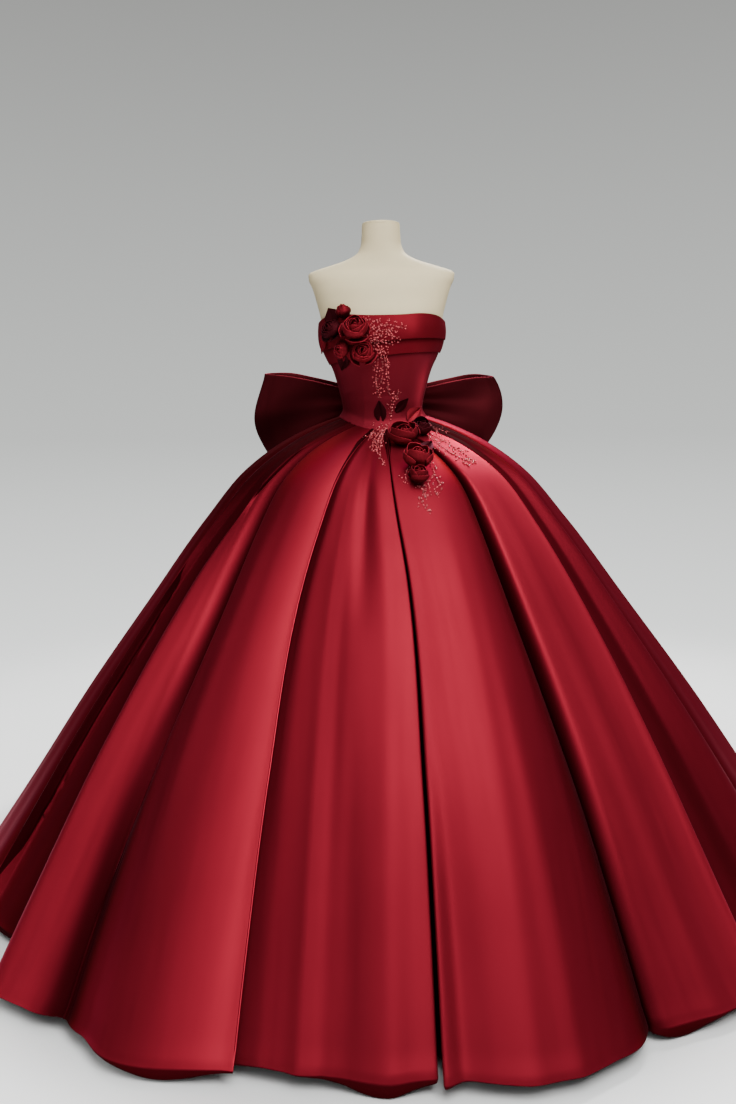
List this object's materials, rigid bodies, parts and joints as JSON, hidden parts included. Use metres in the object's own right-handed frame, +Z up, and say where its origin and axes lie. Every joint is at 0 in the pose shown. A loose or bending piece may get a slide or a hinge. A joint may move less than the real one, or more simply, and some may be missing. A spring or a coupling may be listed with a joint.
{
  "type": "strapless ball gown on a limbless dress form with its stand",
  "caption": "Strapless red satin ball gown with a pleated bell skirt, folded bust bands, fabric flowers and a back bow, worn by a limbless dress form on a round-based stand.",
  "frame": {"origin": "on the floor, at the centre of the underside of the stand's base, under the pole", "axes": "+Z up along the pole, -Y towards the front of the gown, +X to the right as seen from the front"},
  "size_m": [2.1071, 2.1064, 1.6403],
  "materials": {
    "red_satin": "smooth duchess satin with a soft sheen",
    "dark_red_satin": "darker satin of the bow and the flowers",
    "cream_linen": "plain matt cover of the dress form",
    "dark_metal": "dark painted steel"
  },
  "bodies": {
    "root": {"bodice_front": "red_satin", "bodice_back_left": "red_satin", "bodice_back_right": "red_satin", "bodice_band_lower": "red_satin", "bodice_band_upper": "red_satin", "skirt_panel_01": "red_satin", "skirt_panel_02": "red_satin", "skirt_panel_03": "red_satin", "skirt_panel_04": "red_satin", "skirt_panel_05": "red_satin", "skirt_panel_06": "red_satin", "skirt_panel_07": "red_satin", "skirt_panel_08": "red_satin", "skirt_panel_09": "red_satin", "skirt_panel_10": "red_satin", "skirt_panel_11": "red_satin", "skirt_panel_12": "red_satin", "skirt_panel_13": "red_satin", "skirt_panel_14": "red_satin", "skirt_panel_15": "red_satin", "skirt_panel_16": "red_satin", "bow_loop_left": "dark_red_satin", "bow_loop_right": "dark_red_satin", "bow_knot": "dark_red_satin", "bust_bud_top": "dark_red_satin", "bust_bloom_centre": "dark_red_satin", "bust_bloom_left": "dark_red_satin", "bust_bloom_low_right": "dark_red_satin", "bust_bloom_low_left": "dark_red_satin", "bust_leaf_top": "dark_red_satin", "bust_leaf_side": "dark_red_satin", "bust_leaf_low": "dark_red_satin", "waist_bloom_upper": "dark_red_satin", "waist_bloom_side": "dark_red_satin", "waist_bloom_middle": "dark_red_satin", "waist_bud_low": "dark_red_satin", "waist_leaf_upright": "dark_red_satin", "waist_leaf_slant": "dark_red_satin", "waist_petal_arc": "dark_red_satin", "waist_leaf_pointed": "dark_red_satin", "form_torso": "cream_linen", "form_neck_cap": "cream_linen", "stand_pole": "dark_metal", "stand_base": "dark_metal"}
  },
  "joints": []
}
